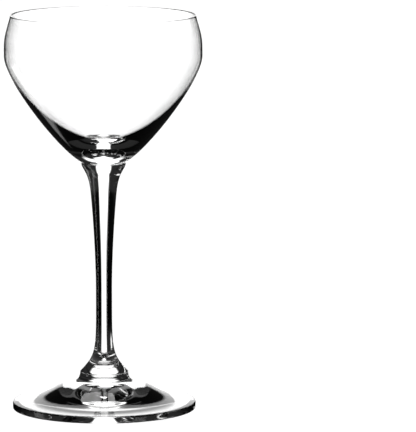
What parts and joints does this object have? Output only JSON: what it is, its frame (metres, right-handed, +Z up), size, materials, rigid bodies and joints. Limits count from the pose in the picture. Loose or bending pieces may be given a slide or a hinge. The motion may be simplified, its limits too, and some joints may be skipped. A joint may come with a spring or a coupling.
{
  "type": "nick and nora glass",
  "caption": "Small stemmed cocktail glass in clear glass: deep bowl with a turned-in lip, slender drawn stem and round foot with a flat resting ring.",
  "frame": {"origin": "on the table, under the middle of the foot", "axes": "+Z up along the axis of the stem; the glass is round, so +X and +Y are free"},
  "size_m": [0.0772, 0.0772, 0.154],
  "materials": {
    "bowl_glass": "clear blown glass, fire-polished lip",
    "stem_glass": "clear drawn glass, fire-polished",
    "foot_glass": "clear pressed glass, fire-polished"
  },
  "bodies": {
    "root": {"bowl": "bowl_glass", "stem": "stem_glass", "foot": "foot_glass"}
  },
  "joints": []
}
